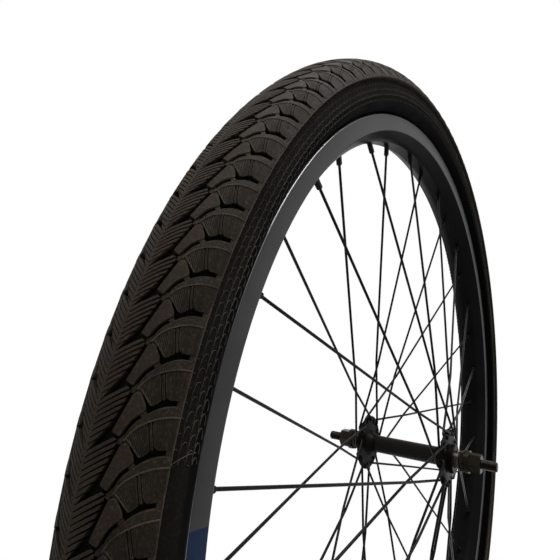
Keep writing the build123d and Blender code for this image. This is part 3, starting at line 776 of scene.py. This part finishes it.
class TIRE_OT_shoulders(Operator):
    """Arched shoulder bands, hatched fans with their cuts, the edge line and the groove floor"""

    bl_idname = "tire.shoulders"
    bl_label = "Tread shoulders"

    def execute(self, context):
        sizes = context.scene.tire_sizes
        rubber = tread_rubber(sizes)
        left, right = (self.shoulder(sizes, side).wrapped(f"tread_shoulder_{label}", rubber)
                       for side, label in ((-1, "left"), (1, "right")))
        settle(left, "wheel", ["tire_tread"])
        settle(right, "wheel", [])
        settle(self.floor(sizes, rubber), "wheel", [])
        return {"FINISHED"}

    @staticmethod
    def shoulder(sizes, side):
        """One pitch of the tread's shoulder on one side."""
        flat = FlatPitch(sizes)
        flat.block(eased(flat.flat(BAND), 1.0, 1), side, top=0.93, bevel=flat.bevel, worn=0.25, edge=0.3)
        # The ridge, fan rim and edge line are lighter along their tops, worn 0.8 to 1: partly wear, partly
        # painted highlight.
        for line, width, top, worn in ((RIDGE, 0.6, 1.04, 1.0), (FAN_RIM, 0.5, 1.02, 0.8)):
            flat.strip(eased(flat.flat(line), 1.5, 1, closed=False), side, width, top=top, bevel=0.1,
                       draft=0.1, worn=worn)
        for fan in FANS:
            flat.block(eased(flat.flat(fan), 1.0, 1), side, top=0.95, bevel=0.12, draft=0.04, hatched=True,
                       worn=0.4, edge=0.3)
        for tie in TIES:
            flat.block(flat.flat(tie), side, top=0.9)
        flat.block(flat.flat(MARGIN), side, top=0.9, draft=0.1)
        flat.block(flat.flat(EDGE_LINE), side, top=0.96, draft=0.15, bevel=0.2, worn=1.0)
        return flat

    @staticmethod
    def floor(sizes, rubber):
        """The thin band at the bottom of the grooves, darkened as painted shade."""
        # dark is the crest value that darkens the groove floor: painted shade.
        edge, lining, dark = FLOOR_EDGE * MM / sizes.tread_radius, 0.0001, -0.9
        outer = [(sizes.floor_radius, edge * (1 - k / 20)) for k in range(41)]
        inner = [(sizes.casing_radius + lining, -across) for _, across in outer]
        section = [(sizes.section_center + r * cos(across), r * sin(across)) for r, across in outer + inner]
        return mesh_object("tread_floor", *ring_of(section, TIRE_STEPS), rubber,
                           crest=[dark] * TIRE_STEPS * len(section))


class TIRE_OT_sidewalls(Operator):
    """Carcass with its beads, and rows of small raised scales that leave two bare panels on each sidewall"""

    bl_idname = "tire.sidewalls"
    bl_label = "Sidewalls"

    def execute(self, context):
        sizes, wheel = context.scene.tire_sizes, context.scene.wheel_sizes
        rubber = sidewall_rubber(sizes)
        section = self.section(sizes, wheel)
        shade = [self.shade(place, sizes) for place in section]
        wall = mesh_object("casing_wall", *ring_of(section, TIRE_STEPS), rubber, sharp=40,
                           crest=shade * TIRE_STEPS)
        scales = [self.scales(sizes, rubber, side, row) for side in (-1, 1)
                  for row in range(sizes.scale_rows)]
        start, end = sizes.panel_angle, sizes.panel_angle + sizes.panel_turn
        bars = [self.bar(sizes, rubber, side, angle) for side in (-1, 1)
                for angle in (start, start + pi, end, end + pi)]
        piece = joined("tire_sidewalls", [wall, *scales, *bars], rubber, sharp=40)
        settle(piece, "wheel", ["tire_casing"])
        return {"FINISHED"}

    @staticmethod
    def shade(place, sizes):
        """How dark the painted shade is at a place of the section: 0 up to a little past its widest line, and
        -1 near the rim, where the sidewall turns under.
        """
        start, slope = 0.1, 6
        past_widest = atan2(abs(place[1]), place[0] - sizes.section_center) - pi / 2
        return -min(1.0, max(0.0, past_widest - start) * slope)

    @staticmethod
    def section(sizes, wheel):
        """Closed outline of the carcass, heel to heel, with a low ledge above the rim."""
        wall, bead, toe, flange_gap, rim_gap, seat_gap = 0.0022, 0.0042, 0.0046, 0.0006, 0.00305, 0.00005
        center, r = sizes.section_center, sizes.casing_radius
        seat, out = wheel.bead_seat + seat_gap, wheel.rim_half - rim_gap
        flange = wheel.bead_seat + wheel.flange_height + flange_gap
        half = [(center + r * cos(radians(a)), r * sin(radians(a))) for a in range(0, 113, 4)]
        half += [(flange + flange_gap, wheel.rim_half - 0.0005), (flange, out), (seat, out),
                 (seat, out - bead), (seat + toe, out - bead)]
        half += [(center + (r - wall) * cos(radians(a)), (r - wall) * sin(radians(a)))
                 for a in range(112, -1, -8)]
        return half + mirrored(half[1:-1])

    @staticmethod
    def raised_line(name, rubber, places):
        """A raised line with a three-sided section: rows of a low edge, the crest and the other low edge."""
        verts, faces = skinned(places, around=False, lids=False)
        # The crest row is lightened by the sidewall rubber: partly wear, partly painted highlight.
        return mesh_object(name, verts, faces, rubber, crest=[0.0, 1.0, 0.0] * len(places))

    @staticmethod
    def edges(half):
        """(width, lift) in mm of a raised line's crest between its two edges, which are sunk in the wall."""
        sunk, lift = -0.1, 0.36
        return (-half, sunk), (0.0, lift), (half, sunk)

    @classmethod
    def scales(cls, sizes, rubber, side, row):
        """One row of raised arcs, a little over half an ellipse each, left out where the bare panels are.

        The rows lie at angles across the section, in degrees.
        """
        first, apart, height, half, steps = 74.8, 8.7, 0.00166, 0.2, 7
        across = radians(first + row * apart)
        count = sizes.pitches * sizes.scales
        mid = sizes.section_center + sizes.casing_radius * cos(across)
        reach = tau * mid / count * 0.5
        rows = []
        for k in range(steps + 1):
            turn = pi * (k / steps * 1.2 - 0.1)
            places = []
            for width, lift in cls.edges(half):
                along = (reach * 1.2 + width * MM) * sin(turn) - reach * 0.3
                up = across + (height + width * MM) * cos(turn) / sizes.casing_radius
                section = sizes.casing_radius + lift * MM
                places.append(on_wheel(sizes.section_center + section * cos(up), side * section * sin(up),
                                       -(along + (row % 2) * reach) / mid))
            rows.append(places)
        scale = cls.raised_line(f"scale_row_{row}", rubber, rows)
        return cls.without_panels(repeated(scale, count, rubber), sizes)

    @staticmethod
    def without_panels(piece, sizes):
        """The piece without what lies on the panels, which face each other across the wheel."""
        shape = bmesh.new()
        shape.from_mesh(piece.data)
        bare = [v for v in shape.verts if (atan2(v.co.z, v.co.x) - sizes.panel_angle) % pi < sizes.panel_turn]
        bmesh.ops.delete(shape, geom=bare, context="VERTS")
        shape.to_mesh(piece.data)
        shape.free()
        return piece

    @classmethod
    def bar(cls, sizes, rubber, side, angle):
        """The raised line across the sidewall at an end of a panel, bowed along the tire.

        It runs through angles across the section, in degrees, and its bow is in millimetres.
        """
        first, apart, bow, half, steps = 71.0, 3.6, 4.5, 0.3, 8
        rows = []
        for k in range(steps + 1):
            across = radians(first + apart * k)
            places = []
            for width, lift in cls.edges(half):
                section = sizes.casing_radius + lift * MM
                ring = sizes.section_center + section * cos(across)
                turn = angle + (width - bow * sin(pi / 2 * k / steps)) * MM / ring
                places.append(on_wheel(ring, side * section * sin(across), turn))
            rows.append(places)
        return cls.raised_line("panel_bar", rubber, rows)


# ---------------------------------------------------------------- rim, spokes and nipples
class TIRE_OT_rim(Operator):
    """Satin black rim with lips in a lighter glossy grey as a painted highlight, side walls in a lighter grey
    as painted light with a plain label, flanks and a spoke bed
    """

    bl_idname = "tire.rim"
    bl_label = "Rim"

    def execute(self, context):
        wheel = context.scene.wheel_sizes
        rim = mesh_object("rim_shell", *ring_of(self.section(wheel), RIM_STEPS), rim_paint(wheel), sharp=28)
        for paint in (lit_wall_paint(wheel), lip_highlight_paint(wheel), label_print(wheel)):
            rim.data.materials.append(paint)
        # track marks the side walls, painted lighter as if lit; lip marks the lips, painted lighter as a
        # highlight.
        track, lip, label = 1, 2, 3
        flange = wheel.bead_seat + wheel.flange_height
        lip_low, lip_inside = flange - 0.0010, wheel.rim_half - 0.0024
        wall_low, wall_inside = flange - wheel.wall_height + 0.0005, wheel.rim_half - 0.00062
        for face in rim.data.polygons:
            radius, width = face.center.xz.length, abs(face.center.y)
            turn = (atan2(face.center.z, face.center.x) - wheel.label_angle) % tau
            if radius > lip_low and width > lip_inside:
                face.material_index = lip
            elif radius > wall_low and width > wall_inside:
                face.material_index = label if face.center.y < 0 and turn < wheel.label_turn else track
        settle(rim, "wheel", ["rim"])
        return {"FINISHED"}

    @staticmethod
    def section(wheel):
        """Closed outline of the rim: bed, flanks, side walls, rounded lips, bead seats and well."""
        lip, lip_width, bed_half, bed_wall, seat_width = 0.0014, 0.003, 0.0054, 0.0026, 0.0044
        seat, half = wheel.bead_seat, wheel.rim_half
        bed, flange = seat - wheel.bed_drop, seat + wheel.flange_height
        wall, inner = flange - wheel.wall_height, half - lip_width
        right = [(bed, bed_half), (bed + 0.0016, 0.0086), (wall, half - 0.0006),
                 (wall + 0.0008, half - 0.0002), (flange - 0.0016, half)]
        right += [(flange - lip * (1 - sin(radians(a))), half - lip * (1 - cos(radians(a))))
                  for a in range(15, 166, 15)]
        right += [(flange - 0.0016, inner), (seat, inner), (seat, inner - seat_width),
                  (bed + bed_wall, bed_half)]
        return eased(right + mirrored(right), 0.0004, 2)


def spoke_route(hole, wheel):
    """Side, whether the head lies inside the flange, and the spoke's head, elbow, outer crossing and rim end.

    Rim holes count from the valve.
    """
    hub_radius, flange_y, flange_half, stagger, gap = 0.020, 0.0365, 0.0015, 0.002, 0.00005
    step = tau / wheel.spokes
    side = 1 if hole % 2 == 0 else -1
    lean = 1 if hole % 4 in (0, 1) else -1
    head_in = lean == side
    bed = wheel.bead_seat - wheel.bed_drop
    rim_angle = wheel.valve_angle + step * (hole + 0.5)
    wrap = wheel.crosses * 2 * step
    run = sqrt(hub_radius**2 + bed**2 - 2 * hub_radius * bed * cos(wrap))
    off = hub_radius * bed * sin(wrap) / run    # how far the spoke's line passes the axle
    share = (off * tan(acos(off / hub_radius) + 2 * step * (wheel.crosses - 0.5))
             - sqrt(hub_radius**2 - off**2)) / run
    out = 1 if head_in else -1
    face, half = flange_half + gap, wheel.spoke_diameter / 2
    hub = Vector(on_wheel(hub_radius, 0, rim_angle + lean * wrap))
    rim = Vector(on_wheel(bed, 0, rim_angle))
    places = [(hub, flange_y - out * face), (hub, flange_y + out * (face + half)),
              (hub.lerp(rim, share), flange_y + (stagger - flange_y) * share - out * (half + gap)),
              (rim, stagger)]
    return side, head_in, [Vector((p.x, side * y, p.z)) for p, y in places]


class TIRE_OT_spokes(Operator):
    """Round spokes, bent at the elbow and interlaced at the outermost crossing, with button heads"""

    bl_idname = "tire.spokes"
    bl_label = "Spokes"

    BUTTON = [(0.00112, -0.0001), (0.00195, 0.0001), (0.00195, 0.0005), (0.0015, 0.0009), (0.0007, 0.0011)]

    def execute(self, context):
        wheel = context.scene.wheel_sizes
        paint, sides, inside_nipple = spoke_paint(wheel), 12, 0.0013
        count = wheel.spokes // 4
        for hole in range(4):
            side, head_in, (head, elbow, cross, seat) = spoke_route(hole, wheel)
            node = f"spokes_{'right' if side > 0 else 'left'}_heads_{'in' if head_in else 'out'}"
            tip = seat + (seat - cross).normalized() * inside_nipple
            line = bpy.data.meshes.new(node)
            line.from_pydata([head, elbow, cross, tip], [(0, 1), (1, 2), (2, 3)], [])
            rods = grown(linked(f"rods_{hole}", line), group("Rods Round Axle"), {
                "Rod Radius": wheel.spoke_diameter / 2, "Bend Radius": 0.0028, "Sides": sides,
                "Count": count, "Material": paint}, sharp=40)
            heads = mesh_object(f"heads_{hole}", *lathe(self.BUTTON, head, head - elbow, sides), paint)
            piece = joined(f"{node}_round", [rods, repeated(heads, count, paint)], paint, sharp=40)
            settle(piece, "wheel", [node])
        return {"FINISHED"}


class TIRE_OT_nipples(Operator):
    """Spoke nipples: head inside the rim, round shank through the bed, squared end with cut corners"""

    bl_idname = "tire.nipples"
    bl_label = "Nipples"

    SHANK = [(0.0012, -0.0049), (0.0026, -0.0049), (0.003, -0.0044), (0.003, -0.0032), (0.002, -0.0026),
             (0.002, 0.0006), (0.0017, 0.0012), (0.0011, 0.0012)]

    def execute(self, context):
        wheel = context.scene.wheel_sizes
        paint = spoke_paint(wheel)
        sets = []
        for hole in range(4):
            path = spoke_route(hole, wheel)[2]
            seat, inward = path[-1], (path[-2] - path[-1]).normalized()
            shank = mesh_object(f"shank_{hole}", *lathe(self.SHANK, seat, inward, 14), paint)
            square = mesh_object(f"square_{hole}", *self.squared(seat, inward), paint)
            one = joined(f"nipple_{hole}", [shank, square], paint)
            sets.append(repeated(one, wheel.spokes // 4, paint))
        settle(joined("spoke_nipples", sets, paint), "wheel", ["nipples"])
        return {"FINISHED"}

    @staticmethod
    def squared(seat, inward):
        """The driving end: a square with cut corners that narrows to the spoke."""
        half, cut = 0.00165, 0.00045
        axle_way = Vector((0, 1, 0))
        side = (axle_way - inward * inward.y).normalized()
        other = inward.cross(side)
        low = half - cut
        outline = [(half, low), (low, half), (-low, half), (-half, low), (-half, -low), (-low, -half),
                   (low, -half), (half, -low)]
        return skinned([[seat + inward * height + (side * a + other * b) * scale for a, b in outline]
                        for scale, height in ((0.92, 0.0005), (1.0, 0.0009), (1.0, 0.0074), (0.78, 0.0082))])


# ---------------------------------------------------------------- hub, axle and valve
class TIRE_OT_hub(Operator):
    """Gloss black hub shell: slim barrel, two drilled flanges that thin towards their edges, end bosses"""

    bl_idname = "tire.hub"
    bl_label = "Hub"

    BARREL_RADIUS, BARREL_HALF = 0.0075, 0.0262

    def execute(self, context):
        wheel = context.scene.wheel_sizes
        paint, hole_radius = hub_paint(wheel), 0.00125
        shell = mesh_object("hub_barrel", *ring_of(self.section(), HUB_STEPS), paint)
        drills = []
        for hole in range(4):
            head, elbow = spoke_route(hole, wheel)[2][:2]
            tool = lathe([(hole_radius, -0.002), (hole_radius, 0.006)], head, elbow - head, 12)
            drills.append(repeated(mesh_object(f"drill_{hole}", *tool, paint), wheel.spokes // 4, paint))
        drill = joined("drills", drills, paint)
        cut = shell.modifiers.new("holes", "BOOLEAN")
        cut.object, cut.operation, cut.solver = drill, "DIFFERENCE", "EXACT"
        applied(shell, 32)
        bpy.data.objects.remove(drill)
        shell.data.materials.append(barrel_paint(wheel))
        for face in shell.data.polygons:
            outside = face.center.xz.length > self.BARREL_RADIUS - 0.0005
            face.material_index = int(abs(face.center.y) < self.BARREL_HALF and outside)
        settle(shell, "wheel", ["hub_shell"])
        return {"FINISHED"}

    @classmethod
    def section(cls):
        """Closed outline of the shell, bored for the axle and wider for the cups."""
        bore, cup, boss, flange, bevel = 0.0058, 0.00966, 0.0110, 0.0240, 0.0004
        root, face, end = 0.0350, 0.0380, corner("hub_shell", 1, 1)
        right = [(cls.BARREL_RADIUS, 0.0), (cls.BARREL_RADIUS, cls.BARREL_HALF), (0.0078, 0.0290),
                 (0.0088, 0.0315), (0.0115, root - bevel), (0.0130, root), (0.0228, root),
                 (0.0238, root + bevel), (flange, root + 0.0010), (0.0236, root + 0.0017), (0.0185, face),
                 (0.0116, face), (boss, face + 0.0006), (boss, end - bevel), (boss - bevel, end), (cup, end),
                 (cup, end - 0.0066), (bore, end - 0.0066)]
        return right + mirrored(right)


class TIRE_OT_axle(Operator):
    """Axle with rolled threads on both ends"""

    bl_idname = "tire.axle"
    bl_label = "Axle"

    def execute(self, context):
        steel = dark_steel()
        radius, root, pitch, depth, shank = 0.00395, 0.0037, 0.00098, 0.00042, 0.030
        end, overlap = corner("axle", 1, 1), 0.0005
        threads = [mesh_object(f"thread_{k}", *threaded_rod(radius, low, high, pitch, depth), steel, 50)
                   for k, (low, high) in enumerate(((-end, -shank), (shank, end)))]
        middle = lathe([(root, -shank - overlap), (root, shank + overlap)], (0, 0, 0), (0, 1, 0), 24)
        piece = joined("axle_threaded", [*threads, mesh_object("shank", *middle, steel)], steel, 50)
        settle(piece, "axle_assembly", ["axle"])
        return {"FINISHED"}


class TIRE_OT_valve(Operator):
    """Threaded valve stem with an open mouth, and its ribbed hollow cap"""

    bl_idname = "tire.valve"
    bl_label = "Valve"

    THREAD_LENGTH = 0.030
    SLEEVE = [(0.0032, -0.0075), (0.0038, -0.007), (0.00385, 0.0004)]
    FOOT = [(0.0020, -0.0096), (0.0058, -0.0094), (0.0064, -0.0084), (0.0055, -0.0078), (0.0040, -0.0072)]
    CAP_HEIGHT = 0.011
    CAP = [(0.00395, 0.0081), (0.00395, 0.0), (0.0046, 0.0002), (0.0047, 0.0014), (0.0044, 0.0018),
           (0.0044, 0.0092), (0.0040, 0.0104), (0.0033, 0.0108), (0.0010, 0.0109)]
    CAP_RIBS = 14
    RIB = [(0.0043, -0.0004), (0.00468, -0.0002), (0.00468, 0.0002), (0.0043, 0.0004)]

    def execute(self, context):
        out = Vector(on_wheel(1, 0, context.scene.wheel_sizes.valve_angle))
        axle_way = Vector((0, 1, 0))
        upright = Matrix((axle_way.cross(-out), -out, axle_way)).transposed()
        settle(self.stem(out, upright), "wheel", ["valve_stem"])
        settle(self.cap(out, upright), "cap", ["valve_cap"])
        return {"FINISHED"}

    @classmethod
    def stem(cls, out, upright):
        """The threaded stem over its sleeve and its foot; upright turns +Y from the rim to the hub."""
        metal = brass()
        radius, pitch, depth, mouth = 0.00385, 0.0008, 0.0003, (0.0026, 0.0255)
        foot = out * (cls.reach("valve_stem", out) + cls.THREAD_LENGTH)
        verts, faces = threaded_rod(radius, 0.0, cls.THREAD_LENGTH, pitch, depth, bore=mouth)
        thread = mesh_object("stem_thread", [foot + upright @ Vector(v) for v in verts], faces, metal, 50)
        sleeve = mesh_object("stem_sleeve", *lathe(cls.SLEEVE, foot, -out, 20), metal)
        flange = mesh_object("stem_foot", *lathe(cls.FOOT, foot, -out, 24), metal)
        return joined("valve_stem_threaded", [thread, sleeve, flange], metal, 50)

    @classmethod
    def cap(cls, out, upright):
        """The cap, hollow over the stem's end, with ribs along its side."""
        plastic = moulded_plastic()
        top, rib_middle, rib_half = cls.reach("valve_cap", out), 0.0055, 0.0034
        shell = mesh_object("cap_shell", *lathe(cls.CAP, out * (top + cls.CAP_HEIGHT), -out, 28), plastic)
        ribs = []
        for k in range(cls.CAP_RIBS):
            side = upright @ Vector(on_wheel(1, 0, tau * k / cls.CAP_RIBS))
            across = out.cross(side)
            rows = [[out * (top + rib_middle + h) + side * r + across * w for r, w in cls.RIB]
                    for h in (-rib_half, rib_half)]
            ribs.append(mesh_object(f"cap_rib_{k}", *skinned(rows), plastic))
        return joined("valve_cap_ribbed", [shell, *ribs], plastic)

    @staticmethod
    def reach(node, out):
        """How far from the axle the node's inner end lies, along out."""
        return min(v.co.dot(out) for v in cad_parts[node].data.vertices)


class TIRE_OT_finishes(Operator):
    """Finishes for the bearings, nuts and the pieces inside the tire, which keep their CAD shapes"""

    bl_idname = "tire.finishes"
    bl_label = "Bearings and inner finishes"

    def execute(self, context):
        shared = {
            hub_paint(context.scene.wheel_sizes): ["dust_cap_left", "dust_cap_right"],
            ground_steel(): ["cone_left", "cone_right", "bearing_cup_left", "bearing_cup_right", "balls_left",
                             "balls_right", "retainer_left", "retainer_right"],
            plated_steel(): ["lock_washers", "locknuts", "fork_washers", "axle_nuts"],
            brass(): ["valve_core", "valve_pin", "valve_nut"],
            bronzed_wire(): ["bead_wire_left", "bead_wire_right"],
            cloth_tape(): ["rim_strip"],
            butyl(): ["inner_tube"],
        }
        for material, nodes in shared.items():
            for node in nodes:
                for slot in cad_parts[node].material_slots:
                    slot.material = material
        return {"FINISHED"}


# ---------------------------------------------------------------- stage
def seen_directly(tree):
    """1 where the camera, a reflection or a clear material looks at the background, and 0 for other light."""
    rays = add(tree, "ShaderNodeLightPath").outputs
    seen = maths(tree, "MAXIMUM", rays["Is Camera Ray"], rays["Is Glossy Ray"])
    return maths(tree, "MAXIMUM", seen, rays["Is Transmission Ray"])


class TIRE_OT_stage(Operator):
    """Pale floor, plain world, soft lamps and the camera"""

    bl_idname = "tire.stage"
    bl_label = "Stage"

    CAMERA_PLACE = (-0.41287, -0.14269, 0.11261)
    CAMERA_DEGREES = (94.754813, -2.233027, -55.366297)
    FLOOR_HALF = 6.0

    def execute(self, context):
        stage = context.scene.stage_sizes
        self.floor(stage)
        self.world(context)
        fill = stage.fill_power
        self.lamp("key light", (-0.1, -0.5, 1.65), (0, 0, 0.1), 1.5, stage.key_power)
        self.lamp("fill light", (-1.5, -0.9, 0.9), (-0.1, 0, 0.05), 1.2, fill)
        self.lamp("side light", (0.9, -1.4, 0.7), (0.05, 0, 0), 0.9, fill * 0.5)
        self.lamp("back light", (-0.5, 1.5, 0.9), (0, 0, 0.05), 1.0, fill)
        self.camera(context, stage)
        context.scene.view_settings.view_transform = "Standard"
        return {"FINISHED"}

    @classmethod
    def floor(cls, stage):
        """Pale floor under the wheel that looks white away from its shadow."""
        paint = bpy.data.materials.new("floor paint")
        paint.use_nodes = True
        tree = paint.node_tree
        shader = tree.nodes["Principled BSDF"]
        noise = add(tree, "ShaderNodeTexNoise", {"Scale": 3.0, "Detail": 2.0})
        shade = ranged(tree, noise.outputs["Fac"], to_min=0.985)
        tint = mixed_color(tree, 1.0, (*stage.floor_color, 1), shade, "MULTIPLY")
        tree.links.new(tint, shader.inputs["Base Color"])
        shader.inputs["Roughness"].default_value = 0.9
        place = add(tree, "ShaderNodeTexCoord").outputs["Object"]
        far = add(tree, "ShaderNodeVectorMath", {0: place}, operation="LENGTH").outputs["Value"]
        white = maths(tree, "MULTIPLY", ranged(tree, far, from_min=0.33, from_max=0.50), seen_directly(tree))
        glow = add(tree, "ShaderNodeEmission", {"Color": (1, 1, 1, 1), "Strength": 1.0})
        mixed = add(tree, "ShaderNodeMixShader", {0: white, 1: shader.outputs[0], 2: glow.outputs[0]})
        tree.links.new(mixed.outputs[0], tree.nodes["Material Output"].inputs["Surface"])
        half, level = cls.FLOOR_HALF, corner("tire_tread", 0, 2)
        verts = [(x, y, level) for x, y in ((-half, -half), (half, -half), (half, half), (-half, half))]
        ground = mesh_object("floor", verts, [(0, 1, 2, 3)], paint)

    @staticmethod
    def world(context):
        """White to look at, but only a weak light on the wheel."""
        world = bpy.data.worlds.new("plain world")
        world.use_nodes = True
        context.scene.world = world
        background = world.node_tree.nodes["Background"].inputs
        background["Color"].default_value = (1, 1, 1, 1)
        strength = ranged(world.node_tree, seen_directly(world.node_tree), to_min=0.08)
        world.node_tree.links.new(strength, background["Strength"])

    @staticmethod
    def lamp(name, place, target, size, power):
        light = bpy.data.lights.new(name, "AREA")
        light.shape, light.size, light.energy = "DISK", size, power
        aim = (Vector(target) - Vector(place)).to_track_quat("-Z", "Y")
        linked(name, light).matrix_world = Matrix.Translation(place) @ aim.to_matrix().to_4x4()

    @classmethod
    def camera(cls, context, stage):
        view = bpy.data.cameras.new("camera")
        view.sensor_width, view.lens, view.clip_start = 36.0, stage.lens, 0.01
        made = linked("camera", view)
        angles = Euler([radians(a) for a in cls.CAMERA_DEGREES])
        made.matrix_world = Matrix.Translation(cls.CAMERA_PLACE) @ angles.to_matrix().to_4x4()
        context.scene.camera = made


class TIRE_PT_pieces(Panel):
    """Buttons for the pieces and the stage, and the sizes and colours that they follow"""

    bl_label = "Bicycle tire"
    bl_idname = "TIRE_PT_pieces"
    bl_space_type = "VIEW_3D"
    bl_region_type = "UI"
    bl_category = "Tire"

    def draw(self, context):
        for operator in OPERATORS:
            self.layout.operator(operator.bl_idname)
        for name in SIZES:
            sizes = getattr(context.scene, name)
            column = self.layout.column(align=True)
            for size in sizes.__annotations__:
                column.prop(sizes, size)


OPERATORS = (TIRE_OT_finishes, TIRE_OT_crown, TIRE_OT_shoulders, TIRE_OT_sidewalls, TIRE_OT_rim,
             TIRE_OT_spokes, TIRE_OT_nipples, TIRE_OT_hub, TIRE_OT_axle, TIRE_OT_valve, TIRE_OT_stage)
SIZES = {"tire_sizes": TireSizes, "wheel_sizes": WheelSizes, "stage_sizes": StageSizes}
CLASSES = (*SIZES.values(), *OPERATORS, TIRE_PT_pieces)


def register():
    for cls in CLASSES:
        bpy.utils.register_class(cls)
    for name, sizes in SIZES.items():
        setattr(bpy.types.Scene, name, PointerProperty(type=sizes))


def unregister():
    for name in SIZES:
        delattr(bpy.types.Scene, name)
    for cls in reversed(CLASSES):
        bpy.utils.unregister_class(cls)


def main():
    register()
    for operator in OPERATORS:
        family, name = operator.bl_idname.split(".")
        getattr(getattr(bpy.ops, family), name)()


if __name__ == "__main__":
    main()
